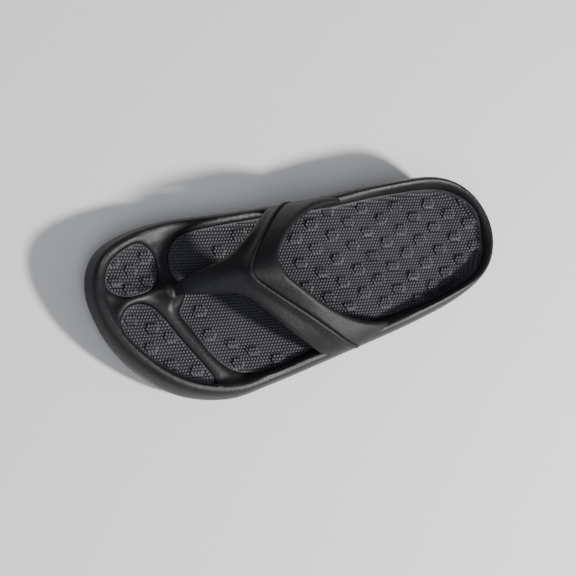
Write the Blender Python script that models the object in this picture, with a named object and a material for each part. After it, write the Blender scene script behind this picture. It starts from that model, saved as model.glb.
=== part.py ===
"""Left flip flop in moulded foam, as a bench assembly.

+Y points to the toes, +X to the big-toe side, +Z up. The origin is on the ground
under the middle of the outline. Lengths below are millimetres.
"""
import math

import bmesh
import bpy
import numpy as np
from mathutils import Vector
from mathutils.geometry import delaunay_2d_cdt

MM = 0.001

# Overall outline of the sole, seen from above, counter-clockwise from the toe tip.
OUTLINE = [
    (20, 138.8), (-4, 133.5), (-26, 118.5), (-44.3, 94.5), (-53.2, 65), (-51.5, 35),
    (-45, -16), (-37.5, -70), (-29, -107), (-14, -131), (9, -139), (33, -130),
    (47, -107), (49.8, -65), (49, -15), (51.3, 40), (53.4, 84), (48.5, 115), (38, 132),
]
OUTLINE_POINTS = 72

# Heights along the length, as (y, z) in millimetres.
RIM_HEIGHT = [(139, 26.5), (110, 24.5), (80, 23.5), (45, 24), (15, 26.5),
              (-25, 31), (-65, 34), (-105, 36), (-139, 37)]
FOOTBED_HEIGHT = [(139, 22.5), (110, 19.5), (80, 18), (45, 18), (15, 20.5),
                  (-25, 24), (-65, 25.5), (-105, 26.5), (-139, 31.5)]
ARCH_LIFT = 2.5             # extra height of the footbed under the arch of the foot
ARCH_CENTRE = (38, -22)
ARCH_SPREAD = (16, 38)
SOLE_END = 139.0             # outline reaches this far from the middle
MIDSOLE_BASE = 2.6          # underside of the midsole above the ground
TOE_SPRING = 10.0           # how far the toe end is lifted
TOE_SPRING_START = 76.0
HEEL_BEVEL = 3.5
HEEL_BEVEL_START = -104.0

# Side wall, from the underside up: inward offset and share of the height.
WALL = [(5.5, 0.0), (1.6, 0.10), (0.0, 0.42), (0.5, 0.76), (2.0, 0.94)]
RIM_CREST = 4.2             # inward offset of the top of the rim
RIM_FOOT = 11.0             # inward offset where the inner slope of the rim ends

# Raised ridges of the footbed: points, width and height.
RIDGES = [
    ([(13.6, 90), (15, 108), (8, 124), (0, 130)], 4.0, 2.2),
    ([(13.6, 90), (3, 92), (-14, 83), (-30, 74), (-46, 62)], 4.6, 2.4),
    ([(13.6, 90), (28, 89.5), (50, 90)], 4.2, 2.4),
]

# Textured pads let into the footbed.
PAD_DEPTH = 3.0
PAD_GAP = 0.45
PAD_FLOOR_GAP = 0.9
GRID_STEP = 9.5
PADS = {
    "pad_big_toe": ([
        (23.6, 128), (16.1, 119), (15.1, 106.6), (18.5, 97), (25.6, 92.2),
        (35.6, 92.6), (42.4, 97.5), (43.4, 107), (36.6, 122)], 22),
    "pad_lesser_toes": ([
        (-1.4, 126), (-11.4, 119.9), (-24.4, 108.7), (-35.4, 94.3), (-42.4, 80),
        (-40.4, 73.8), (-34.4, 75.9), (-16.4, 86.6), (1.6, 96.8), (9.1, 103.5),
        (11.1, 112.8), (8.2, 121)], 28),
    "pad_ball_to_heel": ([
        (21.5, 84), (14, 78.6), (6.5, 82), (0.5, 86), (-10.4, 80.6), (-26.4, 72.4),
        (-38.4, 60.5), (-42.9, 45), (-41.4, 24.6), (-37.4, 4), (-31.5, -30),
        (-27.4, -80), (-19.6, -112), (-9, -126), (5, -131), (20, -130),
        (31.8, -121), (39.4, -104), (41.6, -70), (41.6, -26), (43.6, 14),
        (44.8, 50), (44, 71), (39, 80.5), (30.5, 84)], 64),
}

# The strap is set out by points on its front edge, its step and its rear edge.
STRAP = [
    ((-47.2, -4, 14), (-44.6, -24, 15), (-41.6, -46, 17)),
    ((-46.6, 0, 21.5), (-44.6, -26, 25.5), (-38.6, -54, 31)),
    ((-43.2, 6, 28), (-41.2, -15, 33), (-34, -34, 37)),
    ((-34.8, 18, 35), (-32, -1, 39.5), (-27.5, -13, 42.5)),
    ((-24, 32, 41), (-19.5, 16, 45.5), (-17, 7, 49)),
    ((-9, 48, 45), (-6.5, 33.5, 49.5), (-6.5, 21.5, 54.5)),
    ((2.5, 62, 44.5), (2.5, 44.5, 51.5), (1, 30.5, 57)),
    ((8, 82, 34.5), (8.5, 51.4, 52.8), (7, 35, 58)),
    ((13.6, 95.5, 25.5), (12.8, 53, 53.2), (12.5, 36.6, 58.2)),
    ((19.2, 82, 34), (17.5, 50.2, 52.8), (18, 36, 57.6)),
    ((23.4, 62, 43.8), (25, 42.8, 50.3), (24.5, 31, 56)),
    ((31.8, 47.5, 45.6), (34.3, 31.5, 45.8), (33.5, 20, 51.5)),
    ((41, 33, 40), (42.4, 18.5, 39.2), (41.3, 2.5, 45)),
    ((46.9, 22.5, 33), (47.6, 5.5, 32.5), (46.4, -17, 38.6)),
    ((49.9, 16.5, 25), (49.4, -7, 25.5), (48.0, -40, 32)),
    ((51.0, 13, 14), (49.6, -9, 15), (49.4, -35, 17)),
]
STRAP_STEPS = 3             # sections between two rows of STRAP
YOKE_THICKNESS = 5.2
COLLAR_THICKNESS = 4.4
STEP_LIP = 1.3              # the yoke stands this much above the collar
STEP_GAP = 0.45
STEP_WIDTH = 20.0           # mean distance from the step to either edge
STRAP_CROWN = 1.2
EDGE_ROUND = 0.25           # bulge of a free edge, as a share of the thickness
EDGE_DROP = 0.8
SOCKET_GAP = 0.4

# Toe post: a turned stem with a head, held by a washer under the midsole.
POST_CENTRE = (13.6, 88.0)
POST_RADIUS = 5.2
POST_STRETCH = 1.35         # the stem is longer along the sole than across it
POST_TOP = 28.0
HEAD_RADIUS = 7.6
HEAD_HEIGHT = 2.4
HEAD_BASE = 5.6
WASHER_RADIUS = 9.6
WASHER_THICKNESS = 2.2
WASHER_GAP = 0.4

# Rubber tread plates.
TREAD_THICKNESS = 3.6
TREAD_GAP = 0.5
TREAD_POINTS = 44
TREAD_STEP = 12.0
TREADS = {
    "outsole_forefoot": [
        (20, 127), (0, 123), (-20.5, 111.5), (-36.5, 94.5), (-47.6, 79), (-52.2, 61),
        (-50.5, 43), (-41, 32), (-15, 22), (14, 22), (38, 30), (47, 44),
        (49, 82), (45, 110), (35, 123)],
    "outsole_heel": [
        (10, -132.5), (29.5, -125.5), (42.5, -104), (45.3, -80), (44, -60), (33, -50),
        (5, -47), (-22, -50), (-32, -60), (-31, -78), (-22.5, -108), (-9, -126)],
}


def material(name, colour, roughness):
    """A plain foam or rubber surface."""
    made = bpy.data.materials.new(name)
    made.use_nodes = True
    shader = made.node_tree.nodes["Principled BSDF"]
    shader.inputs["Base Color"].default_value = (*colour, 1.0)
    shader.inputs["Roughness"].default_value = roughness
    shader.inputs["Metallic"].default_value = 0.0
    return made


def spline(points, t, closed=False):
    """Point on the Catmull-Rom curve through points, at parameter t in rows."""
    count = len(points)
    row = int(math.floor(t))
    if not closed:
        row = min(row, count - 2)
    f = t - row

    def at(index):
        if closed:
            return np.array(points[index % count], float)
        if index < 0:
            return 2 * np.array(points[0], float) - np.array(points[1], float)
        if index >= count:
            return 2 * np.array(points[-1], float) - np.array(points[-2], float)
        return np.array(points[index], float)

    a, b, c, d = (at(row + k) for k in (-1, 0, 1, 2))
    return 0.5 * (2 * b + (c - a) * f + (2 * a - 5 * b + 4 * c - d) * f ** 2
                  + (3 * b - a - 3 * c + d) * f ** 3)


def smooth_loop(points, count):
    """Closed curve through points, cut into count equal lengths."""
    fine = np.array([spline(points, k / 12, True) for k in range(12 * len(points))])
    steps = np.linalg.norm(np.roll(fine, -1, 0) - fine, axis=1)
    along = np.concatenate([[0], np.cumsum(steps)])
    ring = np.vstack([fine, fine[:1]])
    wanted = np.linspace(0, along[-1], count, endpoint=False)
    return np.stack([np.interp(wanted, along, ring[:, k]) for k in range(2)], 1)


def inset(loop, distance):
    """Counter-clockwise loop moved inward by distance."""
    run = np.roll(loop, -1, 0) - np.roll(loop, 1, 0)
    run /= np.linalg.norm(run, axis=1)[:, None]
    return loop + distance * np.stack([-run[:, 1], run[:, 0]], 1)


def profile(table, y):
    """Smooth height at y from a table that runs from the toe to the heel."""
    ys = [row[0] for row in table]
    y = min(max(y, ys[-1]), ys[0])
    for row in range(len(table) - 1):
        if y >= ys[row + 1]:
            f = (ys[row] - y) / (ys[row] - ys[row + 1])
            return float(spline([(h,) for _, h in table], row + f)[0])
    return table[-1][1]


def segment_distance(p, a, b):
    """Distance from p to each segment a-b."""
    run = b - a
    f = np.clip(((p - a) * run).sum(-1) / (run ** 2).sum(-1), 0, 1)
    return np.linalg.norm(p - a - f[..., None] * run, axis=-1)


def smoothstep(t):
    t = min(max(t, 0.0), 1.0)
    return t * t * (3 - 2 * t)


EDGE = smooth_loop(OUTLINE, OUTLINE_POINTS)


def edge_distance(x, y):
    """Distance inward from the outline of the sole."""
    return float(segment_distance(np.array([x, y]), EDGE, np.roll(EDGE, -1, 0)).min())


def underside(y):
    """Height of the underside of the midsole."""
    z = MIDSOLE_BASE
    if y > TOE_SPRING_START:
        z += TOE_SPRING * ((y - TOE_SPRING_START) / (SOLE_END - TOE_SPRING_START)) ** 2
    if y < HEEL_BEVEL_START:
        z += HEEL_BEVEL * ((HEEL_BEVEL_START - y) / (SOLE_END + HEEL_BEVEL_START)) ** 2
    return z


def arch(x, y):
    return ARCH_LIFT * math.exp(-((x - ARCH_CENTRE[0]) / ARCH_SPREAD[0]) ** 2
                                - ((y - ARCH_CENTRE[1]) / ARCH_SPREAD[1]) ** 2)


def footbed(x, y):
    """Height of the foot side of the midsole, inside the rim crest."""
    low = profile(FOOTBED_HEIGHT, y) + arch(x, y)
    rim = profile(RIM_HEIGHT, y)
    inward = edge_distance(x, y)
    wall = 1 - smoothstep((inward - RIM_CREST) / (RIM_FOOT - RIM_CREST))
    z = low + (rim - low) * wall
    lift = 0.0
    for points, width, height in RIDGES:
        line = np.array(points, float)
        near = float(segment_distance(np.array([x, y]), line[:-1], line[1:]).min())
        lift = max(lift, height * math.exp(-(near / width) ** 2))
    return z + lift * (1 - wall)


def inside(loop, x, y):
    """True where (x, y) lies inside the loop."""
    a, b = loop, np.roll(loop, -1, 0)
    crosses = (a[:, 1] > y) != (b[:, 1] > y)
    with np.errstate(divide="ignore", invalid="ignore"):
        at = a[:, 0] + (y - a[:, 1]) / (b[:, 1] - a[:, 1]) * (b[:, 0] - a[:, 0])
    return bool((crosses & (x < at)).sum() % 2)


def triangulate(loops, step):
    """Triangles inside the first loop, with every loop kept as edges."""
    points, edges = [], []
    for loop in loops:
        start = len(points)
        points += [Vector(p) for p in loop]
        edges += [(start + k, start + (k + 1) % len(loop)) for k in range(len(loop))]
    outer = loops[0]
    for row in range(-int(160 / step), int(160 / step)):
        for column in range(-int(70 / step), int(70 / step)):
            p = np.array([(column + 0.5 * (row % 2)) * step, row * 0.87 * step])
            x, y = p
            clear = min(segment_distance(p, l, np.roll(l, -1, 0)).min() for l in loops)
            if clear > 0.45 * step and inside(outer, x, y):
                points.append(Vector(p))
    verts, _, faces, *_ = delaunay_2d_cdt(points, edges, [], 1, 1e-6)
    return [tuple(v) for v in verts], faces


def make_object(name, verts, faces, surface):
    """One mesh object, given in millimetres."""
    mesh = bpy.data.meshes.new(name)
    mesh.from_pydata([tuple(c * MM for c in v) for v in verts], [], faces)
    bm = bmesh.new()
    bm.from_mesh(mesh)
    bmesh.ops.triangulate(bm, faces=bm.faces)
    bmesh.ops.recalc_face_normals(bm, faces=bm.faces)
    bm.to_mesh(mesh)
    bm.free()
    mesh.shade_smooth()
    mesh.set_sharp_from_angle(angle=math.radians(35))
    obj = bpy.data.objects.new(name, mesh)
    bpy.context.collection.objects.link(obj)
    if surface:
        mesh.materials.append(surface)
    return obj


def cutter(obj):
    obj.hide_render = True
    obj.display_type = "WIRE"
    return obj


def cut(obj, tool, operation="DIFFERENCE"):
    """Boolean modifier with the exact solver."""
    modifier = obj.modifiers.new(tool.name, "BOOLEAN")
    modifier.operation = operation
    modifier.solver = "EXACT"
    modifier.object = tool


def slab(name, loop, top, bottom, step, surface):
    """Solid between two heights over a loop."""
    flat, faces = triangulate([loop], step)
    count = len(flat)
    verts = [(x, y, top(x, y)) for x, y in flat]
    verts += [(x, y, bottom(x, y)) for x, y in flat]
    shell = [tuple(f) for f in faces] + [tuple(count + k for k in reversed(f)) for f in faces]
    rim = len(loop)
    shell += [(k, count + k, count + (k + 1) % rim, (k + 1) % rim) for k in range(rim)]
    return make_object(name, verts, shell, surface)


def make_midsole(surface):
    """Foam body: rounded side wall, rim, footbed with ridges and pad pockets."""
    pockets = [smooth_loop(points, count) for points, count in PADS.values()]
    crest = inset(EDGE, RIM_CREST)
    flat, faces = triangulate([crest] + pockets, GRID_STEP)
    rim = len(crest)
    verts = [(x, y, footbed(x, y)) for x, y in flat]
    lowered = {}
    shell = []
    for face in faces:
        centre = np.mean([flat[k] for k in face], axis=0)
        if any(inside(loop, *centre) for loop in pockets):
            for k in face:
                if k not in lowered:
                    x, y, z = verts[k]
                    lowered[k] = len(verts)
                    verts.append((x, y, z - PAD_DEPTH))
            face = [lowered[k] for k in face]
        shell.append(tuple(face))
    start = rim
    for loop in pockets:
        for k in range(len(loop)):
            a, b = start + k, start + (k + 1) % len(loop)
            shell.append((a, b, lowered[b], lowered[a]))
        start += len(loop)
    upper = list(range(rim))
    for offset, share in reversed(WALL):
        ring = inset(EDGE, offset)
        first = len(verts)
        for x, y in ring:
            low = underside(y)
            verts.append((x, y, low + share * (profile(RIM_HEIGHT, y) - low)))
        lower = list(range(first, first + rim))
        for k in range(rim):
            n = (k + 1) % rim
            shell.append((upper[k], lower[k], lower[n], upper[n]))
        upper = lower
    base, base_faces = triangulate([inset(EDGE, WALL[0][0])], 2.2 * GRID_STEP)
    index = dict(zip(range(rim), upper))
    for k in range(rim, len(base)):
        index[k] = len(verts)
        verts.append((*base[k], underside(base[k][1])))
    shell += [tuple(index[k] for k in reversed(f)) for f in base_faces]
    kept = {k: n for n, k in enumerate(sorted({k for f in shell for k in f}))}
    verts = [verts[k] for k in kept]
    return make_object("midsole", verts, [tuple(kept[k] for k in f) for f in shell], surface)


def strap_grid(columns):
    """Points and outward normals over the whole strap, section by section."""
    rows = (len(STRAP) - 1) * STRAP_STEPS
    grid = np.zeros((rows + 1, len(columns), 3))
    for i in range(rows + 1):
        front, step, rear = (spline([row[k] for row in STRAP], i / STRAP_STEPS)
                             for k in range(3))
        for j, t in enumerate(columns):
            a, b, f = (front, step, t) if t <= 1 else (step, rear, t - 1)
            grid[i, j] = a + (b - a) * f
    normal = np.cross(np.gradient(grid, axis=1), np.gradient(grid, axis=0))
    normal /= np.linalg.norm(normal, axis=2)[..., None]
    crown = STRAP_CROWN * np.array([4 * (t % 1) * (1 - t % 1) for t in columns])
    return grid + normal * crown[None, :, None], normal


def section_loop(points, normal, thickness, lip):
    """Section of the yoke or the collar, rounded on its free edge."""
    run = points[-1] - points[0]
    run = run / np.linalg.norm(run)
    top = points.copy()
    under = points - normal * thickness
    free, side = (0, -1) if lip else (-1, 1)
    top[-1] += normal[-1] * lip
    middle = (top[free] + under[free]) / 2 + side * run * thickness * EDGE_ROUND
    top[free] -= normal[free] * EDGE_DROP
    under[free] += normal[free] * EDGE_DROP
    if lip:
        return [middle, *top, *under[::-1]]
    return [*top, middle, *under[::-1]]


def socket_loop(points, normal, thickness):
    """Section of the whole strap with clearance all round."""
    run = points[-1] - points[0]
    run = run / np.linalg.norm(run)
    points = points.copy()
    points[0] -= run * (SOCKET_GAP + thickness * EDGE_ROUND)
    points[-1] += run * (SOCKET_GAP + thickness * EDGE_ROUND)
    top = points + normal * (SOCKET_GAP + STEP_LIP)
    under = points - normal * (SOCKET_GAP + thickness)
    return [*top, *under[::-1]]


def loft(name, sections, surface):
    """Closed solid through sections of equal size."""
    size = len(sections[0])
    faces = []
    for i in range(len(sections) - 1):
        for k in range(size):
            n = (k + 1) % size
            faces.append((i * size + k, i * size + n, (i + 1) * size + n, (i + 1) * size + k))
    faces.append(tuple(range(size)))
    faces.append(tuple((len(sections) - 1) * size + k for k in reversed(range(size))))
    return make_object(name, [tuple(p) for s in sections for p in s], faces, surface)


def turned(name, centre, steps, sides, surface, hole=0.0):
    """Turned solid from (radius, z) steps, bottom to top, with an optional hole."""
    verts = []
    for radius, z in steps:
        for k in range(sides):
            angle = 2 * math.pi * k / sides
            verts.append((centre[0] + radius * math.cos(angle),
                          centre[1] + radius * POST_STRETCH * math.sin(angle), z))
    faces = [(i * sides + k, i * sides + (k + 1) % sides,
              (i + 1) * sides + (k + 1) % sides, (i + 1) * sides + k)
             for i in range(len(steps) - 1) for k in range(sides)]
    if hole:
        last = len(steps) - 1
        faces += [(last * sides + k, last * sides + (k + 1) % sides, (k + 1) % sides, k)
                  for k in range(sides)]
    else:
        faces.append(tuple(range(sides)))
        faces.append(tuple(k + (len(steps) - 1) * sides for k in reversed(range(sides))))
    return make_object(name, verts, faces, surface)


def make_strap(surface):
    """Yoke with its toe post, the collar behind the step, and their socket."""
    gap = STEP_GAP / STEP_WIDTH
    grid, normal = strap_grid([0, 0.2, 0.5, 0.8, 1 - gap, 1 + gap, 1.3, 1.65, 2])
    normal[:, 4] = normal[:, 5] = (normal[:, 4] + normal[:, 5]) / 2
    yoke = loft("strap_yoke", [section_loop(p, n, YOKE_THICKNESS, STEP_LIP)
                               for p, n in zip(grid[:, :5], normal[:, :5])], surface)
    loft("strap_collar", [section_loop(p, n, COLLAR_THICKNESS, 0)
                          for p, n in zip(grid[:, 5:], normal[:, 5:])], surface)
    steps = [(HEAD_RADIUS, HEAD_BASE), (HEAD_RADIUS, HEAD_BASE + HEAD_HEIGHT),
             (POST_RADIUS, HEAD_BASE + HEAD_HEIGHT + 0.01), (POST_RADIUS, POST_TOP)]
    post = cutter(turned("toe_post", POST_CENTRE, steps, 20, None))
    cut(yoke, post, "UNION")
    whole_grid, whole_normal = strap_grid([0, 0.5, 1, 1.5, 2])
    sections = [socket_loop(p, n, YOKE_THICKNESS) for p, n in zip(whole_grid, whole_normal)]
    for end, inner in ((0, 1), (-1, -2)):
        for k, point in enumerate(sections[end]):
            run = point - sections[inner][k]
            sections[end][k] = point + SOCKET_GAP * run / np.linalg.norm(run)
    socket = cutter(loft("strap_socket", sections, None))
    return socket


def make_post_hole():
    """Cutter for the toe post, its head and its washer."""
    roof = HEAD_BASE + HEAD_HEIGHT + WASHER_THICKNESS + 3 * WASHER_GAP
    wide = WASHER_RADIUS + WASHER_GAP
    steps = [(wide, -5), (wide, roof), (POST_RADIUS + 0.5, roof + 0.01), (POST_RADIUS + 0.5, 60)]
    return cutter(turned("post_hole", POST_CENTRE, steps, 20, None))


def make_washer(surface):
    """Stiff ring between the head of the toe post and the midsole."""
    low = HEAD_BASE + HEAD_HEIGHT + WASHER_GAP
    high = low + WASHER_THICKNESS
    bore = POST_RADIUS + 0.5
    steps = [(bore, low), (WASHER_RADIUS, low), (WASHER_RADIUS, high), (bore, high)]
    return turned("toe_post_washer", POST_CENTRE, steps, 20, surface, hole=bore)


def make_tread(name, points, surface):
    """Rubber plate under the midsole, and the cutter for its pocket."""
    loop = smooth_loop(points, TREAD_POINTS)

    def low(x, y):
        return underside(y) - MIDSOLE_BASE

    def high(x, y):
        return low(x, y) + TREAD_THICKNESS

    slab(name, loop, high, low, TREAD_STEP, surface)
    return cutter(slab(name + "_pocket", inset(loop, -TREAD_GAP),
                       lambda x, y: high(x, y) + TREAD_GAP, lambda x, y: low(x, y) - 5,
                       TREAD_STEP, None))


def main():
    for obj in list(bpy.data.objects):
        bpy.data.objects.remove(obj)
    foam = material("midsole_foam", (0.030, 0.030, 0.033), 0.62)
    textured = material("pad_foam", (0.060, 0.060, 0.064), 0.75)
    strap_foam = material("strap_foam", (0.026, 0.026, 0.029), 0.50)
    rubber = material("outsole_rubber", (0.022, 0.021, 0.021), 0.70)
    stiff = material("washer_plastic", (0.10, 0.10, 0.10), 0.45)

    midsole = make_midsole(foam)
    for name, (points, count) in PADS.items():
        loop = inset(smooth_loop(points, count), PAD_GAP)
        slab(name, loop, footbed, lambda x, y: footbed(x, y) - PAD_DEPTH + PAD_FLOOR_GAP,
             GRID_STEP, textured)
    socket = make_strap(strap_foam)
    cut(midsole, socket)
    cut(midsole, make_post_hole())
    make_washer(stiff)
    for name, points in TREADS.items():
        cut(midsole, make_tread(name, points, rubber))


main()
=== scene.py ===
import math

import bmesh
import bpy
import numpy as np
from mathutils import Matrix, Vector
from mathutils.geometry import delaunay_2d_cdt


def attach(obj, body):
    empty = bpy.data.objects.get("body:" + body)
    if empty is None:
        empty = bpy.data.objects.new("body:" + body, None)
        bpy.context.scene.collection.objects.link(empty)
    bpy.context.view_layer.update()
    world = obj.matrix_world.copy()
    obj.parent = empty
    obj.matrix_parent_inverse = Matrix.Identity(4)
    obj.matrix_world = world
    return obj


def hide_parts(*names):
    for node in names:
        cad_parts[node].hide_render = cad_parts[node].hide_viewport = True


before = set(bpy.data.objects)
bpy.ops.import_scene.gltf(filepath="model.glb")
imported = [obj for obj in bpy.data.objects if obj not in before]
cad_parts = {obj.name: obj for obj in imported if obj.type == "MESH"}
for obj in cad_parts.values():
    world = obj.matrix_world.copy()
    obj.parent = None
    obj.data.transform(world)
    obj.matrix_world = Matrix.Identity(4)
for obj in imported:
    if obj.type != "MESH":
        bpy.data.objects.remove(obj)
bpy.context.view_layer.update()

# Lengths below are millimetres. +Y points to the toes, +X to the big-toe side.
MM = 0.001

# ---- outline and heights ----
OUTLINE = [
    (20, 138.8), (-4, 133.5), (-26, 118.5), (-44.3, 94.5), (-53.2, 65), (-51.5, 35),
    (-45, -16), (-37.5, -70), (-29, -107), (-14, -131), (9, -139), (33, -130),
    (47, -107), (49.8, -65), (49, -15), (51.3, 40), (53.4, 84), (48.5, 115), (38, 132),
]
SOLE_END = 139.0            # outline reaches this far from the middle
EDGE_POINTS = 440
RIM_HEIGHT = [(139, 26.5), (110, 24.5), (80, 23.5), (45, 24), (15, 26.5),
              (-25, 31), (-65, 34), (-105, 36), (-139, 37)]
FOOTBED_HEIGHT = [(139, 22.5), (110, 19.5), (80, 18), (45, 18), (15, 20.5),
                  (-25, 24), (-65, 25.5), (-105, 26.5), (-139, 31.5)]
ARCH_LIFT, ARCH_CENTRE, ARCH_SPREAD = 2.5, (38, -22), (16, 38)
MEDIAL_LIFT = 2.2           # the footbed rises to the rim beside the big toe and its ball
MEDIAL_ACROSS = (22, 46)    # the lift starts and is full at these x
MEDIAL_BACK = (8, 38)       # and at these y, coming from the heel
MEDIAL_FRONT = (134, 114)   # and coming from the toes
MIDSOLE_BASE = 2.6
TOE_SPRING, TOE_SPRING_START = 10.0, 76.0
HEEL_BEVEL, HEEL_BEVEL_START = 3.5, -104.0

# Side wall from the underside to the crest of the rim: inward offset, share of height.
WALL = [(5.5, 0.0), (3.0, 0.03), (1.6, 0.10), (0.5, 0.25), (0.0, 0.44), (0.2, 0.60),
        (0.9, 0.77), (2.0, 0.895), (3.4, 0.965), (4.6, 0.993), (5.6, 1.0)]
WALL_ROWS = 34
UPPER_WALL = 0.45           # above this share of the height the wall follows crest_share
RIM_CREST = 5.6             # inward offset of the top of the rim
RIM_FOOT = 11.5             # inward offset where the inner slope of the rim ends
CREST_WIDE, CREST_TIGHTER = 1.07, 0.45
TIGHT_ACROSS, TIGHT_HEEL = (5, 40), (-95, -125)     # x and y over which the crest narrows

# Ridges: the line each follows, its half width and its height.

RIDGES = [
    ([(13.6, 90), (15, 108), (8, 124), (0, 130)], 4.0, 2.2),
    ([(13.6, 90), (3, 92), (-14, 83), (-30, 74), (-46, 62)], 4.6, 2.4),
    ([(13.6, 90), (28, 89.5), (50, 90)], 4.2, 0.7),
]
SADDLE = (13.6, 90.5)       # where the three ridges meet under the strap nose
SADDLE_LIFT, SADDLE_SPREAD = 3.0, 7.4
POST_CENTRE = (13.6, 88.0)
POST_STRETCH = 1.35         # the post is longer along the sole than across it
POST_FOOT, POST_RISE, POST_REACH = 4.6, 3.6, 3.2    # foam that climbs the foot of the post

PAD_DEPTH = 3.0
PAD_GAP = 0.32
PAD_FLOOR_GAP = 0.9
PAD_BORDER = 0.28           # plain edge round the dots
SWELL, SWELL_AT, SWELL_WIDTH = 0.40, 2.3, 1.5   # the foam swells softly round a pocket
POCKET_ROUND, POCKET_ROUND_WIDTH = 0.45, 0.36   # rounded edge of a pocket
PAD_ROUND, PAD_ROUND_WIDTH = 0.45, 0.33         # rounded edge of a pad
PADS = {
    "pad_big_toe": [
        (23.6, 128), (16.1, 119), (15.1, 106.6), (18.5, 97), (25.6, 92.2),
        (35.6, 92.6), (42.4, 97.5), (43.4, 107), (36.6, 122)],
    "pad_lesser_toes": [
        (-1.4, 126), (-11.4, 119.9), (-24.4, 108.7), (-35.4, 94.3), (-42.4, 80),
        (-40.4, 73.8), (-34.4, 75.9), (-16.4, 86.6), (1.6, 96.8), (9.1, 103.5),
        (11.1, 112.8), (8.2, 121)],
    "pad_ball_to_heel": [
        (21.5, 84), (14, 78.6), (6.5, 82), (0.5, 86), (-10.4, 80.6), (-26.4, 72.4),
        (-38.4, 60.5), (-42.9, 45), (-41.4, 24.6), (-37.4, 4), (-31.5, -30),
        (-27.4, -80), (-19.6, -112), (-9, -126), (5, -131), (20, -130),
        (31.8, -121), (39.4, -104), (41.6, -70), (41.6, -26), (43.6, 14),
        (44.8, 50), (44, 71), (39, 80.5), (30.5, 84)],
}

# Dots of the pads: a hexagonal lattice, a little turned against the length.
DOT_PITCH = 2.0
DOT_ROW = 1.75
DOT_TURN = (-0.14, -0.99)   # direction of a row of dots
DOT_HEIGHT = 0.46
DOT_FLAT = 0.66             # share of a cell taken by the top of the dot
DOT_BORDER = 0.75           # height of the plain edge, as a share of a dot
DOT_CLEAR, DOT_FADE = 0.45, 0.7     # dots start this far from the edge, and grow over this
BORDER_TONE = 0.35          # how light the plain edge is painted, between the painted shade of a groove and a dot
PAD_SINK = 0.1              # the bottoms of the grooves lie this far below the footbed

# Low massage nubs under the dots: long hexagons.
NUB_LENGTH, NUB_WIDTH, NUB_HEIGHT = 9.5, 5.8, 1.25
NUB_START = (36.6, -50.0)
NUB_ROW, NUB_PITCH, NUB_SLANT = 7.25, 25.0, 0.11
NUB_ROWS, NUB_COLUMNS = range(9), range(-2, 4)
NUB_POINT = 0.55            # how far the ends of the hexagon are drawn out
NUB_EDGE, NUB_FLANK = 1.12, 0.42    # where the slope of a nub starts, and how long it is
NUB_CLEAR, NUB_FADE = 0.6, 2.0      # nubs fade out towards the edge of the pad
NUBS_FRONT = [
    (30, 50), (37, 35), (-15, 70), (-23, 57), (-30, 45), (-35, 56), (-38, 30), (-1, 72),
    (36, 120), (30, 110), (25, 121), (22, 101), (35, 99), (19, 113),
    (3, 118), (-4, 105), (2, 97), (-12, 95), (-15, 109), (-26, 99), (-33, 84)]

# The strap: points on its front edge, its step and its rear edge.
STRAP = [
    ((-47.2, -4, 14), (-44.6, -24, 15), (-41.6, -46, 17)),
    ((-46.6, 0, 21.5), (-44.6, -26, 25.5), (-38.6, -54, 31)),
    ((-43.2, 6, 28), (-41.2, -15, 33), (-34, -34, 37)),
    ((-34.8, 18, 35), (-32, -1, 39.5), (-27.5, -13, 42.5)),
    ((-24, 32, 41), (-19.5, 16, 45.5), (-17, 7, 49)),
    ((-9, 48, 45), (-6.5, 33.5, 49.5), (-6.5, 21.5, 54.5)),
    ((2.5, 62, 44.5), (2.5, 44.5, 51.5), (1, 30.5, 57)),
    ((8, 82, 34.5), (8.5, 51.4, 52.8), (7, 35, 58)),
    ((13.6, 95.5, 25.5), (12.8, 53, 53.2), (12.5, 36.6, 58.2)),
    ((19.2, 82, 34), (17.5, 50.2, 52.8), (18, 36, 57.6)),
    ((23.4, 62, 43.8), (25, 42.8, 50.3), (24.5, 31, 56)),
    ((31.8, 47.5, 45.6), (34.3, 31.5, 45.8), (33.5, 20, 51.5)),
    ((41, 33, 40), (42.4, 18.5, 39.2), (41.3, 2.5, 45)),
    ((46.9, 22.5, 33), (47.6, 5.5, 32.5), (46.4, -17, 38.6)),
    ((49.9, 16.5, 25), (49.4, -7, 25.5), (48.0, -40, 32)),
    ((51.0, 13, 14), (49.6, -9, 15), (49.4, -35, 17)),
]
STRAP_STEPS = 10            # sections between two rows of STRAP
YOKE_THICKNESS = 5.2
COLLAR_THICKNESS = 4.4
COLLAR_START = 0.97         # the collar starts a little under the lip of the step
STEP_LIP, LIP_WIDTH = 1.6, 7.0
STEP_ROUND, TUCK_ROUND = 1.9, 0.3   # edge radii of the lip, and of the collar below it
UNDER_ROUND = 0.2           # the lip's radius underneath, as a share of the one on top
STRAP_CROWN = 1.2
LINE_BLUR, NORMAL_BLUR = 4.5, 5.0   # sections over which the V is softened
EDGE_RADIUS = 2.6           # how far from a free edge the strap starts to round off
END_SINK = 3.8              # how deep the arm ends lie inside the side wall
END_ROWS = 2.6              # rows of STRAP over which the arms sink in
END_RADIUS = 10.0           # softer edges where the arms run out on the rim
REAR_DROP = 3.2             # how far the rear edge of the strap dips into the rim
NOSE_START, NOSE_LENGTH, NOSE_DROP = 83.0, 13, 5.0  # the nose dips into the saddle
VOXEL = 0.62

# Turned round the centre of the post: radius, height.
TURNED_SIDES = 48
POST = [(7.6, 5.6), (7.6, 8.0), (5.2, 8.01), (5.2, 22.0), (4.6, 24.5), (3.6, 26.0)]
HOLE = [(10.0, -5), (10.0, 11.4), (5.6, 11.41), (5.6, 17.5)]

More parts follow.
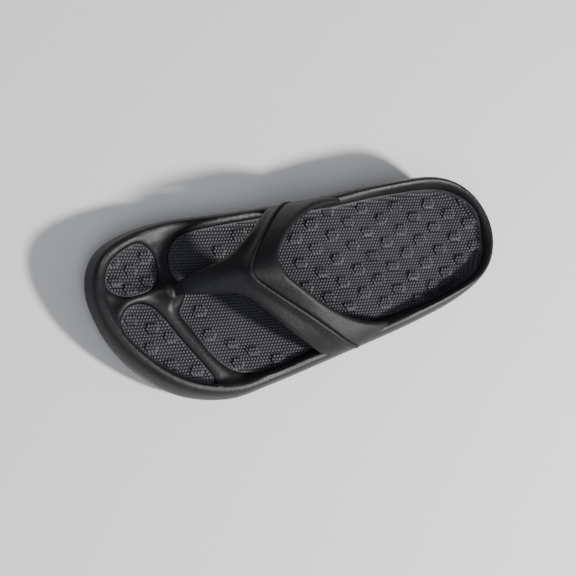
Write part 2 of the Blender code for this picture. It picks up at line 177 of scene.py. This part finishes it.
TREAD_THICKNESS = 3.6
TREADS = {
    "outsole_forefoot": [
        (20, 127), (0, 123), (-20.5, 111.5), (-36.5, 94.5), (-47.6, 79), (-52.2, 61),
        (-50.5, 43), (-41, 32), (-15, 22), (14, 22), (38, 30), (47, 44),
        (49, 82), (45, 110), (35, 123)],
    "outsole_heel": [
        (10, -132.5), (29.5, -125.5), (42.5, -104), (45.3, -80), (44, -60), (33, -50),
        (5, -47), (-22, -50), (-32, -60), (-31, -78), (-22.5, -108), (-9, -126)],
}
TREAD_BORDER = 3.5          # plain band round the grooves
TREAD_ROUND, TREAD_ROUND_WIDTH = 0.5, 0.6
GROOVE_PITCH, GROOVE_WIDTH, GROOVE_DEPTH = 6.5, 1.5, 1.3
GROOVE_WAVE, GROOVE_WAVE_LENGTH, GROOVE_FLANK = 2.2, 15, 0.8

# ---- how closely the meshes are spaced ----
OUTLINE_STEP, PAD_OUTLINE_STEP = 1.1, 0.9
POCKET_RINGS = ((0.35, 1), (0.9, 2))    # rings round a pocket: how far out, every nth point
FOAM_STEP, TREAD_STEP = 1.5, 0.9
POST_STEP, POST_ZONE = 0.8, 10          # finer round the toe post
HIDDEN_STEP = 8.0
CLEAR = 0.3                 # free points stay this far from an outline
EDGE_SHARES = np.array([0, 0.03, 0.12, 0.27, 0.47, 0.72, 1.0])  # points on a rounded edge


# ---- curves and distances ----
def curve(points, t, closed=False):
    """Catmull-Rom points at parameters t."""
    p = np.asarray(points, float)
    t = np.asarray(t, float)
    row = np.floor(t).astype(int)
    if closed:
        a, b, c, d = (p[(row + k) % len(p)] for k in (-1, 0, 1, 2))
    else:
        row = np.clip(row, 0, len(p) - 2)
        p = np.concatenate([[2 * p[0] - p[1]], p, [2 * p[-1] - p[-2]]])
        a, b, c, d = (p[row + k] for k in (0, 1, 2, 3))
    f = (t - row).reshape(-1, *[1] * (p.ndim - 1))
    return 0.5 * (2 * b + (c - a) * f + (2 * a - 5 * b + 4 * c - d) * f ** 2
                  + (3 * b - a - 3 * c + d) * f ** 3)


def smooth_loop(points, spacing=None, count=None):
    """Closed curve through points, cut into equal lengths."""
    fine = curve(points, np.arange(24 * len(points)) / 24, True)
    steps = np.linalg.norm(np.roll(fine, -1, 0) - fine, axis=1)
    along = np.concatenate([[0], np.cumsum(steps)])
    ring = np.vstack([fine, fine[:1]])
    count = count or int(along[-1] / spacing)
    wanted = np.linspace(0, along[-1], count, endpoint=False)
    return np.stack([np.interp(wanted, along, ring[:, k]) for k in range(2)], 1)


def inset(loop, distance):
    """Counter-clockwise loop moved inward by distance."""
    run = np.roll(loop, -1, 0) - np.roll(loop, 1, 0)
    run /= np.linalg.norm(run, axis=1)[:, None]
    return loop + np.reshape(distance, (-1, 1)) * np.stack([-run[:, 1], run[:, 0]], 1)


def profile(table, y):
    """Smooth height at y from a table that runs from the toe to the heel."""
    ys = np.array([row[0] for row in table], float)
    t = np.linspace(0, len(table) - 1, 24 * len(table))
    heights = curve([row[1] for row in table], t)
    return np.interp(y, np.interp(t, np.arange(len(ys)), ys)[::-1], heights[::-1])


def distance(p, line, closed=True):
    """Distance of each point from a line of segments."""
    a = line if closed else line[:-1]
    b = np.roll(line, -1, 0) if closed else line[1:]
    run = b - a
    length = (run ** 2).sum(1)
    out = np.empty(len(p))
    for s in range(0, len(p), 3000):
        q = p[s:s + 3000, None] - a
        f = np.clip((q * run).sum(2) / length, 0, 1)
        out[s:s + 3000] = np.sqrt(((q - f[..., None] * run) ** 2).sum(2).min(1))
    return out


def inside(p, loop):
    """True for the points inside a loop."""
    a, b = loop, np.roll(loop, -1, 0)
    rise = np.where(b[:, 1] == a[:, 1], 1e-9, b[:, 1] - a[:, 1])
    out = np.empty(len(p), bool)
    for s in range(0, len(p), 3000):
        x, y = p[s:s + 3000, 0, None], p[s:s + 3000, 1, None]
        crosses = (a[:, 1] > y) != (b[:, 1] > y)
        at = a[:, 0] + (y - a[:, 1]) / rise * (b[:, 0] - a[:, 0])
        out[s:s + 3000] = (crosses & (x < at)).sum(1) % 2 == 1
    return out


def smoothstep(t):
    """Smooth rise from 0 to 1 while t goes from 0 to 1."""
    t = np.clip(t, 0, 1)
    return t * t * (3 - 2 * t)


def ramp(value, limits):
    """Smooth rise from 0 at the first limit to 1 at the second."""
    start, end = limits
    return smoothstep((value - start) / (end - start))


EDGE = smooth_loop(OUTLINE, count=EDGE_POINTS)


def crest_share(p):
    """How broad the rounding of the rim is: tighter on the inner side and at the heel."""
    tight = np.maximum(ramp(p[:, 0], TIGHT_ACROSS), ramp(p[:, 1], TIGHT_HEEL))
    return CREST_WIDE - CREST_TIGHTER * tight


def underside(y):
    """Height of the underside of the midsole."""
    toe = np.clip((y - TOE_SPRING_START) / (SOLE_END - TOE_SPRING_START), 0, None)
    heel = np.clip((HEEL_BEVEL_START - y) / (SOLE_END + HEEL_BEVEL_START), 0, None)
    return MIDSOLE_BASE + TOE_SPRING * toe ** 2 + HEEL_BEVEL * heel ** 2


def post_distance(p):
    """Distance from the centre of the toe post, measured across the sole."""
    return np.hypot(p[:, 0] - POST_CENTRE[0], (p[:, 1] - POST_CENTRE[1]) / POST_STRETCH)


def footbed(p):
    """Height of the foot side inside the crest of the rim."""
    x, y = p[:, 0], p[:, 1]
    low = profile(FOOTBED_HEIGHT, y)
    low = low + ARCH_LIFT * np.exp(-((x - ARCH_CENTRE[0]) / ARCH_SPREAD[0]) ** 2
                                   - ((y - ARCH_CENTRE[1]) / ARCH_SPREAD[1]) ** 2)
    low = low + MEDIAL_LIFT * (ramp(x, MEDIAL_ACROSS) * ramp(y, MEDIAL_BACK)
                               * ramp(y, MEDIAL_FRONT))
    rim = profile(RIM_HEIGHT, y)
    crest = RIM_CREST * crest_share(p)
    wall = 1 - smoothstep((distance(p, EDGE) - crest) / (RIM_FOOT - crest))
    lift = np.zeros(len(p))
    for points, width, height in RIDGES:
        line = curve(points, np.linspace(0, len(points) - 1, 12 * len(points)))
        near = distance(p, line, False)
        lift = np.maximum(lift, height * np.exp(-(near / width) ** 2))
    away = ((x - SADDLE[0]) ** 2 + (y - SADDLE[1]) ** 2) / SADDLE_SPREAD ** 2
    lift = lift + SADDLE_LIFT * np.exp(-away)
    lift = lift + POST_RISE * np.exp(-np.clip(post_distance(p) - POST_FOOT, 0, None) / POST_REACH)
    return low + (rim - low) * wall + lift * (1 - wall)


def nubs(p):
    """Height of the nubs above the pad."""
    centres = list(NUBS_FRONT)
    for row in NUB_ROWS:
        for k in NUB_COLUMNS:
            y = NUB_START[1] - NUB_PITCH * (k + 0.5 * (row % 2))
            centres.append((NUB_START[0] - NUB_ROW * row + NUB_SLANT * (y - NUB_START[1]), y))
    run = np.array(DOT_TURN) / math.hypot(*DOT_TURN)
    z = np.zeros(len(p))
    for centre in centres:
        q = p - np.array(centre)
        along, across = np.abs(q @ run), np.abs(q @ np.array([run[1], -run[0]]))
        size = np.maximum(across / (NUB_WIDTH / 2),
                          (along + NUB_POINT * across) / (NUB_LENGTH / 2))
        z = np.maximum(z, NUB_HEIGHT * smoothstep((NUB_EDGE - size) / NUB_FLANK))
    return z


# ---- meshes ----
def cdt(points, loops):
    """Triangles inside the first loop; points are the loops followed by free points."""
    edges, start = [], 0
    for loop in loops:
        edges += [(start + k, start + (k + 1) % len(loop)) for k in range(len(loop))]
        start += len(loop)
    verts, _, faces, *_ = delaunay_2d_cdt([Vector(p) for p in points], edges, [], 1, 1e-5)
    return np.array([tuple(v) for v in verts]), [tuple(f) for f in faces]


def lattice(step, low=(-60, -145), high=(60, 145)):
    """Triangular lattice of points over the whole sole."""
    rows = np.arange(low[1], high[1], step * 0.866)
    columns = np.arange(low[0], high[0], step)
    return np.array([(x + 0.5 * step * (r % 2), y) for r, y in enumerate(rows) for x in columns])


def hidden_side(loop, step, clear):
    """Coarse triangles inside a loop, for a side that isn't seen."""
    grid = lattice(step)
    grid = grid[inside(grid, loop) & (distance(grid, loop) > clear)]
    return cdt(np.vstack([loop, grid]), [loop])


def plate(front, front_faces, back, back_faces, rim):
    """Closed plate: its front, its back, and the band between their first rim points."""
    count = len(front)
    shell = front_faces + [tuple(count + k for k in f) for f in back_faces]
    shell += [(k, count + k, count + (k + 1) % rim, (k + 1) % rim) for k in range(rim)]
    return np.vstack([front, back]), shell


def make_object(name, verts, faces, surface, node, sharp=50):
    """One object in the scene, given in millimetres; it rides on a node if one is named."""
    mesh = bpy.data.meshes.new(name)
    mesh.from_pydata((np.asarray(verts) * MM).tolist(), [], faces)
    bm = bmesh.new()
    bm.from_mesh(mesh)
    bmesh.ops.recalc_face_normals(bm, faces=bm.faces)
    bm.to_mesh(mesh)
    bm.free()
    mesh.shade_smooth()
    mesh.set_sharp_from_angle(angle=math.radians(sharp))
    mesh.materials.append(surface)
    obj = bpy.data.objects.new(name, mesh)
    bpy.context.scene.collection.objects.link(obj)
    if node:
        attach(obj, "root")
        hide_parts(node)
    return obj


def bake(obj):
    """Turns the modifiers of an object into its mesh."""
    graph = bpy.context.evaluated_depsgraph_get()
    made = bpy.data.meshes.new_from_object(obj.evaluated_get(graph))
    obj.modifiers.clear()
    obj.data = made
    return obj


def turned(name, steps, surface):
    """Turned solid round the centre of the toe post, from (radius, z) steps."""
    sides = TURNED_SIDES
    angle = 2 * np.pi * np.arange(sides) / sides
    verts = [(POST_CENTRE[0] + r * c, POST_CENTRE[1] + r * POST_STRETCH * s, z)
             for r, z in steps for c, s in zip(np.cos(angle), np.sin(angle))]
    faces = [(i * sides + k, i * sides + (k + 1) % sides,
              (i + 1) * sides + (k + 1) % sides, (i + 1) * sides + k)
             for i in range(len(steps) - 1) for k in range(sides)]
    faces += [tuple(range(sides)), tuple((len(steps) - 1) * sides + k for k in range(sides))]
    return make_object(name, verts, faces, surface, None)


def make_midsole(surface):
    """Foam body with its rounded wall, rim, ridges and pad pockets."""
    pockets = [smooth_loop(points, OUTLINE_STEP) for points in PADS.values()]
    share = crest_share(EDGE)
    crest = inset(EDGE, RIM_CREST * share)
    free = [inset(loop, -gap)[::nth] for loop in pockets for gap, nth in POCKET_RINGS]
    free.append(lattice(FOAM_STEP))
    close = lattice(POST_STEP)
    free.append(close[post_distance(close) < POST_ZONE])
    free = np.vstack(free)
    in_pocket = np.any([inside(free, loop) for loop in pockets], axis=0)
    free = free[~in_pocket & inside(free, crest)]
    near = np.min([distance(free, loop) for loop in [crest] + pockets], axis=0)
    free = free[near > CLEAR]
    coarse = lattice(HIDDEN_STEP)
    deep = np.any([inside(coarse, loop) & (distance(coarse, loop) > 3) for loop in pockets],
                  axis=0)
    flat, faces = cdt(np.vstack([crest] + pockets + [free, coarse[deep]]), [crest] + pockets)

    z = footbed(flat)
    for loop in pockets:
        away = distance(flat, loop)
        swell = SWELL * np.exp(-((away - SWELL_AT) / SWELL_WIDTH) ** 2)
        z = z + swell - POCKET_ROUND * np.exp(-(away / POCKET_ROUND_WIDTH) ** 2)
    verts = [np.column_stack([flat, z])]
    centres = np.array([flat[list(f)].mean(0) for f in faces])
    pocketed = np.any([inside(centres, loop) for loop in pockets], axis=0)
    floor = sorted({k for f, down in zip(faces, pocketed) if down for k in f})
    lowered = {k: len(flat) + n for n, k in enumerate(floor)}
    verts.append(np.column_stack([flat[floor], footbed(flat[floor]) - PAD_DEPTH]))
    shell = [tuple(lowered[k] for k in f) if down else f for f, down in zip(faces, pocketed)]
    start = len(crest)
    for loop in pockets:
        for k in range(len(loop)):
            a, b = start + k, start + (k + 1) % len(loop)
            shell.append((a, b, lowered[b], lowered[a]))
        start += len(loop)

    total = len(flat) + len(floor)
    rim = len(EDGE)
    upper = np.arange(rim)
    wall = curve(WALL, np.linspace(0, len(WALL) - 1, WALL_ROWS))[:-1][::-1]
    low = underside(EDGE[:, 1])
    high = profile(RIM_HEIGHT, EDGE[:, 1])
    for offset, part in wall:
        above = share if part > UPPER_WALL else 1.0
        ring = inset(EDGE, max(offset, 0) * above)
        verts.append(np.column_stack([ring, low + part * (high - low)]))
        lower = np.arange(total, total + rim)
        total += rim
        shell += [(upper[k], lower[k], lower[(k + 1) % rim], upper[(k + 1) % rim])
                  for k in range(rim)]
        upper = lower
    base, base_faces = hidden_side(inset(EDGE, WALL[0][0]), step=5.0, clear=2)
    extra = base[rim:]
    verts.append(np.column_stack([extra, underside(extra[:, 1])]))
    shell += [tuple(upper[k] if k < rim else total + k - rim for k in f) for f in base_faces]
    body = make_object("midsole_body", np.vstack(verts),
                       [tuple(int(k) for k in f) for f in shell], surface, "midsole")
    hole = turned("post_hole", HOLE, surface)
    tool = body.modifiers.new("post_hole", "BOOLEAN")
    tool.operation, tool.solver, tool.object = "DIFFERENCE", "EXACT", hole
    bake(body)
    bpy.data.objects.remove(hole)
    return body


def dot_points():
    """One dot, from its centre: points of its level top, and low points between dots."""
    third = DOT_ROW / 3
    half = DOT_PITCH / 2
    corners = [(0, 2 * third), (half, third), (half, -third),
               (0, -2 * third), (-half, -third), (-half, third)]
    tops = [(0, 0)] + [(a * DOT_FLAT, b * DOT_FLAT) for a, b in corners]
    lows = [corners[0], corners[3]]
    lows += [((corners[k][0] + corners[k + 1][0]) / 2,
              (corners[k][1] + corners[k + 1][1]) / 2) for k in range(3)]
    return tops, lows


def dot_lattice(loop):
    """Points of the dots inside a loop, 1 or 0 for top or low, and where each point is seated.

    All the points of a top are seated at its centre, so a dot on a nub rises level.
    """
    run = np.array(DOT_TURN) / math.hypot(*DOT_TURN)
    turn = np.array([run, [run[1], -run[0]]])
    tops, lows = dot_points()
    centre = loop.mean(0)
    reach = int(np.abs(loop - centre).max() * 1.3 / DOT_ROW) + 2
    start = np.round(centre @ turn.T / (DOT_PITCH, 2 * DOT_ROW))
    cells = np.array([((j + 0.5 * (i % 2)) * DOT_PITCH + start[0] * DOT_PITCH,
                       i * DOT_ROW + start[1] * 2 * DOT_ROW)
                      for i in range(-reach, reach) for j in range(-reach, reach)])
    cells = cells[inside(cells @ turn, inset(loop, -DOT_PITCH))]
    points = (cells[:, None] + np.array(tops + lows)).reshape(-1, 2) @ turn
    seats = (cells[:, None] + np.array([(0, 0)] * len(tops) + lows)).reshape(-1, 2) @ turn
    top = np.tile([1.0] * len(tops) + [0.0] * len(lows), len(cells))
    kept = inside(points, loop) & (distance(points, loop) > CLEAR)
    return points[kept], top[kept], seats[kept]


def make_pad(node, points, surface):
    """Footbed pad with its lattice of dots over low nubs."""
    loop = inset(smooth_loop(points, PAD_OUTLINE_STEP), PAD_GAP)
    dots, top, seats = dot_lattice(loop)
    border = inset(loop, PAD_BORDER)
    border = border[inside(border, loop)]
    flat, faces = cdt(np.vstack([loop, dots, border]), [loop])
    rest = len(loop) + len(dots)
    top = np.concatenate([np.zeros(len(loop)), top, np.ones(len(flat) - rest)])
    seats = np.vstack([loop, seats, flat[rest:]])
    away = distance(flat, loop)
    shown = smoothstep((away - DOT_CLEAR) / DOT_FADE)
    height = DOT_HEIGHT * (top * shown + DOT_BORDER * (1 - shown))
    rounded = PAD_ROUND * np.exp(-(away / PAD_ROUND_WIDTH) ** 2)
    nub = nubs(seats) * smoothstep((away - NUB_CLEAR) / NUB_FADE)
    z = footbed(flat) + nub + height - rounded - PAD_SINK
    base, base_faces = hidden_side(loop, step=6.0, clear=2)
    bottom = footbed(base) - PAD_DEPTH + PAD_FLOOR_GAP
    verts, shell = plate(np.column_stack([flat, z]), faces,
                         np.column_stack([base, bottom]), base_faces, len(loop))
    pad = make_object(node + "_dots", verts, shell, surface, node, 62)
    # The raised attribute steers painted shade in the material: grooves between dots get the dark
    # raised colour, dot tops the pad colour, and the plain edge BORDER_TONE between them.
    raised = np.concatenate([top * shown + BORDER_TONE * (1 - shown), np.zeros(len(base))])
    attribute = pad.data.attributes.new("raised", "FLOAT", "POINT")
    attribute.data.foreach_set("value", raised.astype(np.float32))
    return pad


def blur(values, spread):
    """Gaussian blur along the first axis; the two ends stay where they are."""
    reach = int(3 * spread)
    kernel = np.exp(-0.5 * (np.arange(-reach, reach + 1) / spread) ** 2)
    kernel /= kernel.sum()
    before = 2 * values[:1] - values[reach:0:-1]
    after = 2 * values[-1:] - values[-2:-reach - 2:-1]
    wide = np.concatenate([before, values, after])
    return np.apply_along_axis(lambda v: np.convolve(v, kernel, "valid"), 0, wide)


def run_out():
    """1 at the arm ends, falling to 0 higher up the strap."""
    rows = (len(STRAP) - 1) * STRAP_STEPS
    u = np.arange(rows + 1) / STRAP_STEPS
    return 1 - smoothstep(np.minimum(u, u[-1] - u) / END_ROWS)


def free_radius():
    """How far from a free edge each section rounds off: softer where the arms run out."""
    return EDGE_RADIUS + (END_RADIUS - EDGE_RADIUS) * run_out()


def strap_rows():
    """Front, step and rear points of every section, with the arm ends sunk a little."""
    rows = (len(STRAP) - 1) * STRAP_STEPS
    u = np.arange(rows + 1) / STRAP_STEPS
    lines = curve(np.array(STRAP, float), u)
    lines[:, 1:] = blur(lines[:, 1:], LINE_BLUR)
    lines[:, :, 0] -= np.sign(lines[:, :, 0]) * (END_SINK * run_out())[:, None]
    lines[:, 2, 2] -= REAR_DROP * run_out()
    return lines


def strap_surface(lines, t):
    """Points and crown at parameters t of each section: 0 front edge, 1 step, 2 rear edge."""
    t = np.broadcast_to(t, (len(lines), t.shape[-1]))
    f = np.where(t > 1, t - 1, t)[..., None]
    a = np.where((t > 1)[..., None], lines[:, 1:2], lines[:, 0:1])
    b = np.where((t > 1)[..., None], lines[:, 2:3], lines[:, 1:2])
    off = np.where(t > 1, t - 1, 1 - t)
    return a + (b - a) * f, STRAP_CROWN * (1 - off ** 2)


def strap_body(name, lines, first, last, thickness, lip, rounds, surface):
    """Closed shell over part of the strap, rounded on its edges.

    rounds gives the radii on top and underneath, each at the first and the last edge.
    """
    top_first, top_last = (np.array(r, float)[:, None] for r in rounds[0])
    band = round(first)
    width = np.linalg.norm(lines[:, band + 1] - lines[:, band], axis=1)[:, None]
    head = EDGE_SHARES * top_first / width
    tail = 1 - EDGE_SHARES[::-1] * top_last / width
    middle = np.linspace(0, 1, 12)[1:-1]
    body = head[:, -1:] + (tail[:, :1] - head[:, -1:]) * middle
    share = np.hstack([head, body, tail])
    points, crown = strap_surface(lines, first + (last - first) * share)
    points[..., 2] -= NOSE_DROP * smoothstep((points[..., 1] - NOSE_START) / NOSE_LENGTH)
    normal = np.cross(np.gradient(points, axis=1), np.gradient(points, axis=0))
    normal /= np.maximum(np.linalg.norm(normal, axis=2), 1e-9)[..., None]
    normal = blur(normal, NORMAL_BLUR)
    normal /= np.linalg.norm(normal, axis=2)[..., None]
    from_first = share * width
    from_last = (1 - share) * width
    halves = []
    for edges in rounds:
        half = np.full(share.shape, thickness / 2)
        for gap, radius in zip((from_first, from_last), edges):
            f = np.clip(1 - gap / np.array(radius, float)[:, None], 0, 1)
            half = half * np.sqrt(np.clip(1 - f ** 2, 0, 1))
        halves.append(half)
    raised = lip * smoothstep(1 - from_last / LIP_WIDTH)
    spine = points + normal * (crown - thickness / 2)[..., None]
    top = spine + normal * (halves[0] + raised)[..., None]
    under = spine - normal * halves[1][..., None]
    section = np.concatenate([top, under[:, ::-1]], axis=1)
    rows, size, _ = section.shape
    faces = []
    for i in range(rows - 1):
        for k in range(size):
            n = (k + 1) % size
            faces.append((i * size + k, i * size + n, (i + 1) * size + n, (i + 1) * size + k))
    faces.append(tuple(range(size)))
    faces.append(tuple((rows - 1) * size + k for k in range(size)))
    return make_object(name, section.reshape(-1, 3), faces, surface, None, 60)


def even_skin(shell, passes, surface):
    """Gives a strap shell one even skin, then softens it."""
    remesh = shell.modifiers.new("skin", "REMESH")
    remesh.mode, remesh.voxel_size, remesh.use_smooth_shade = "VOXEL", VOXEL * MM, True
    soften = shell.modifiers.new("soften", "SMOOTH")
    soften.factor, soften.iterations = 0.5, passes
    bake(shell)
    shell.data.materials.clear()
    shell.data.materials.append(surface)


def make_yoke(surface):
    """Strap front with its step lip and toe post, as one moulding."""
    lines = strap_rows()
    free = free_radius()
    step = np.full(len(lines), STEP_ROUND)
    lip = STEP_LIP * (1 - run_out() ** 2)[:, None]
    yoke = strap_body("yoke_shell", lines, 0.0, 1.0, YOKE_THICKNESS, lip,
                      [(free, step), (free, UNDER_ROUND * step)], surface)
    post = turned("post_shell", POST, surface)
    join = yoke.modifiers.new("post", "BOOLEAN")
    join.operation, join.solver, join.object = "UNION", "EXACT", post
    even_skin(yoke, 10, surface)
    bpy.data.objects.remove(post)
    yoke.name = "strap_yoke_moulding"
    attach(yoke, "root")
    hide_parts("strap_yoke")
    return yoke


def make_collar(surface):
    """Lower collar behind the step."""
    lines = strap_rows()
    free = free_radius()
    step = np.full(len(lines), TUCK_ROUND)
    collar = strap_body("collar_shell", lines, COLLAR_START, 2.0, COLLAR_THICKNESS, 0,
                        [(step, free), (step, free)], surface)
    even_skin(collar, 8, surface)
    collar.name = "strap_collar_moulding"
    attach(collar, "root")
    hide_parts("strap_collar")
    return collar


def make_tread(node, points, surface):
    """Rubber plate with wavy grooves across the sole."""
    loop = smooth_loop(points, OUTLINE_STEP)
    grid = lattice(TREAD_STEP)
    grid = grid[inside(grid, loop)]
    grid = grid[distance(grid, loop) > 0.5]
    flat, faces = cdt(np.vstack([loop, grid]), [loop])
    x, y = flat[:, 0], flat[:, 1]
    wave = GROOVE_WAVE * np.sin(x * 2 * np.pi / GROOVE_WAVE_LENGTH)
    phase = (y + wave) % GROOVE_PITCH - GROOVE_PITCH / 2
    groove = GROOVE_DEPTH * smoothstep((GROOVE_WIDTH / 2 + 0.5 - np.abs(phase)) / GROOVE_FLANK)
    away = distance(flat, loop)
    groove = groove * smoothstep((away - TREAD_BORDER) / 1.0)
    low = underside(y) - MIDSOLE_BASE
    edge = TREAD_ROUND * np.exp(-(away / TREAD_ROUND_WIDTH) ** 2)
    base, base_faces = hidden_side(loop, step=7.0, clear=3)
    high = underside(base[:, 1]) - MIDSOLE_BASE + TREAD_THICKNESS
    verts, shell = plate(np.column_stack([flat, low + groove + edge]), faces,
                         np.column_stack([base, high]), base_faces, len(loop))
    return make_object(node + "_plate", verts, shell, surface, node, 40)


# ---- surfaces ----
def foam(name, dark, light, rough, grain, bump, wear, sheen=0.36, raised=None):
    """Moulded foam, rubber or plastic: cloudy colour, skin grain, dust and worn edges.

    dark and light are the two ends of the colour, grain is the scale of the skin, bump its
    strength, wear the paleness of worn edges, and raised the near-black colour painted between
    the dots of a pad as painted shade in the grooves, while the dot tops keep the pad colour.
    """
    made = bpy.data.materials.new(name)
    made.use_nodes = True
    nodes, links = made.node_tree.nodes, made.node_tree.links
    shader = nodes["Principled BSDF"]
    shader.inputs["Specular IOR Level"].default_value = sheen
    place = nodes.new("ShaderNodeTexCoord").outputs["Object"]

    def noise(scale, detail, rough_in=0.55):
        n = nodes.new("ShaderNodeTexNoise")
        n.inputs["Scale"].default_value = scale
        n.inputs["Detail"].default_value = detail
        n.inputs["Roughness"].default_value = rough_in
        links.new(place, n.inputs["Vector"])
        return n.outputs["Fac"]

    def spread(value, low, high, to_low, to_high):
        n = nodes.new("ShaderNodeMapRange")
        for key, number in zip(("From Min", "From Max", "To Min", "To Max"),
                               (low, high, to_low, to_high)):
            n.inputs[key].default_value = number
        links.new(value, n.inputs["Value"])
        return n.outputs["Result"]

    def mix(a, b, fac):
        n = nodes.new("ShaderNodeMix")
        n.data_type = "RGBA"
        for socket, value in ((n.inputs[0], fac), (n.inputs[6], a), (n.inputs[7], b)):
            if isinstance(value, bpy.types.NodeSocket):
                links.new(value, socket)
            elif isinstance(value, float):
                socket.default_value = value
            else:
                socket.default_value = (*value, 1.0)
        return n.outputs[2]

    def math_node(kind, a, b):
        n = nodes.new("ShaderNodeMath")
        n.operation = kind
        for socket, value in zip(n.inputs, (a, b)):
            if isinstance(value, bpy.types.NodeSocket):
                links.new(value, socket)
            else:
                socket.default_value = value
        return n.outputs[0]

    cloud = noise(38.0, 5.0)
    fine = noise(grain, 6.0, 0.65)
    colour = mix(dark, light, spread(cloud, 0.32, 0.70, 0.0, 1.0))
    speck = tuple(c * 1.9 + 0.004 for c in light)
    colour = mix(colour, speck, spread(fine, 0.52, 0.74, 0.0, 0.55))
    edge = nodes.new("ShaderNodeNewGeometry").outputs["Pointiness"]
    worn = tuple(c * 2.1 + 0.008 for c in light)
    colour = mix(colour, worn, spread(edge, 0.51, 0.58, 0.0, wear))
    roughness = spread(math_node("ADD", cloud, fine), 0.7, 1.3, rough - 0.09, rough + 0.09)
    # Painted shade: where the raised attribute is low, in the grooves between the dots of a pad,
    # the colour goes to the near-black raised colour.
    if raised:
        height = nodes.new("ShaderNodeAttribute")
        height.attribute_name = "raised"
        painted_shade_mix = spread(height.outputs["Fac"], 0.1, 0.9, 0.0, 1.0)
        colour = mix(raised, colour, painted_shade_mix)
    links.new(colour, shader.inputs["Base Color"])
    links.new(roughness, shader.inputs["Roughness"])
    height = math_node("ADD", fine, math_node("MULTIPLY", noise(grain * 0.22, 3.0), 1.4))
    lump = nodes.new("ShaderNodeBump")
    lump.inputs["Strength"].default_value = bump
    lump.inputs["Distance"].default_value = 0.00035
    links.new(height, lump.inputs["Height"])
    links.new(lump.outputs["Normal"], shader.inputs["Normal"])
    return made


body_foam = foam("midsole_foam_skin", (0.0050, 0.0050, 0.0062), (0.0094, 0.0094, 0.0116),
                 0.46, 1500.0, 0.45, 0.35)
strap_foam = foam("strap_foam_skin", (0.0036, 0.0038, 0.0050), (0.0068, 0.0071, 0.0092),
                  0.50, 1700.0, 0.40, 0.10, sheen=0.27)
# raised is painted shade: the near-black colour of the grooves between the dots of the pads.
pad_foam = foam("pad_foam_skin", (0.027, 0.0275, 0.033), (0.050, 0.051, 0.060),
                0.54, 1900.0, 0.35, 0.15, raised=(0.0018, 0.0018, 0.0022))
rubber = foam("outsole_rubber_skin", (0.014, 0.013, 0.013), (0.024, 0.022, 0.021),
              0.66, 1100.0, 0.55, 0.45)
plastic = foam("washer_plastic_skin", (0.075, 0.075, 0.078), (0.11, 0.11, 0.112),
               0.42, 900.0, 0.20, 0.30)

make_midsole(body_foam)
for pad_node, pad_points in PADS.items():
    make_pad(pad_node, pad_points, pad_foam)
make_yoke(strap_foam)
make_collar(strap_foam)
for tread_node, tread_points in TREADS.items():
    make_tread(tread_node, tread_points, rubber)
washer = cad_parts["toe_post_washer"]
washer.data.materials.clear()
washer.data.materials.append(plastic)

# ---- floor, light and camera ----
floor_mesh = bpy.data.meshes.new("floor")
floor_mesh.from_pydata([(-3, -3, -1e-4), (3, -3, -1e-4), (3, 3, -1e-4), (-3, 3, -1e-4)],
                       [], [(0, 1, 2, 3)])
floor = bpy.data.objects.new("floor", floor_mesh)
bpy.context.scene.collection.objects.link(floor)
pale = bpy.data.materials.new("pale_floor")
pale.use_nodes = True
pale.node_tree.nodes["Principled BSDF"].inputs["Base Color"].default_value = (0.86, 0.86, 0.86, 1)
pale.node_tree.nodes["Principled BSDF"].inputs["Roughness"].default_value = 0.9
floor_mesh.materials.append(pale)


def area_light(name, place, aim, size, power, colour):
    """Round soft light at place that shines towards aim."""
    lamp = bpy.data.lights.new(name, "AREA")
    lamp.shape, lamp.size, lamp.energy, lamp.color = "DISK", size, power, colour
    obj = bpy.data.objects.new(name, lamp)
    obj.location = place
    obj.rotation_mode = "QUATERNION"
    obj.rotation_quaternion = (Vector(aim) - Vector(place)).to_track_quat("-Z", "Y")
    bpy.context.scene.collection.objects.link(obj)
    return obj


key = area_light("key", (-0.86, -0.86, 1.06), (0, 0, 0.02), 0.22, 46.0, (1.0, 0.97, 0.94))
fill = area_light("fill", (-0.5, 1.0, 1.5), (0, 0, 0.02), 1.2, 11.0, (0.90, 0.94, 1.0))
world = bpy.data.worlds.new("studio")
bpy.context.scene.world = world
world.use_nodes = True
world.node_tree.nodes["Background"].inputs["Color"].default_value = (0.95, 0.97, 1.0, 1)
world.node_tree.nodes["Background"].inputs["Strength"].default_value = 0.24

VIEW_FROM = Vector((-0.0434, 0.5797, 0.8773))
LOOK_AT = Vector((0.0, 0.0, 0.022))
VIEW_UP = Vector((0.9662, -0.1879, 0.1764))
back = (VIEW_FROM - LOOK_AT).normalized()
right = VIEW_UP.cross(back).normalized()
up = back.cross(right)
camera_data = bpy.data.cameras.new("camera")
camera_data.sensor_width, camera_data.lens = 36.0, 110.25
camera_data.shift_x, camera_data.shift_y = -0.0302, -0.0063
camera_data.clip_start, camera_data.clip_end = 0.01, 50.0
camera = bpy.data.objects.new("camera", camera_data)
camera.matrix_world = Matrix.Translation(VIEW_FROM) @ Matrix(
    (right, up, back)).transposed().to_4x4()
bpy.context.scene.collection.objects.link(camera)
bpy.context.scene.camera = camera
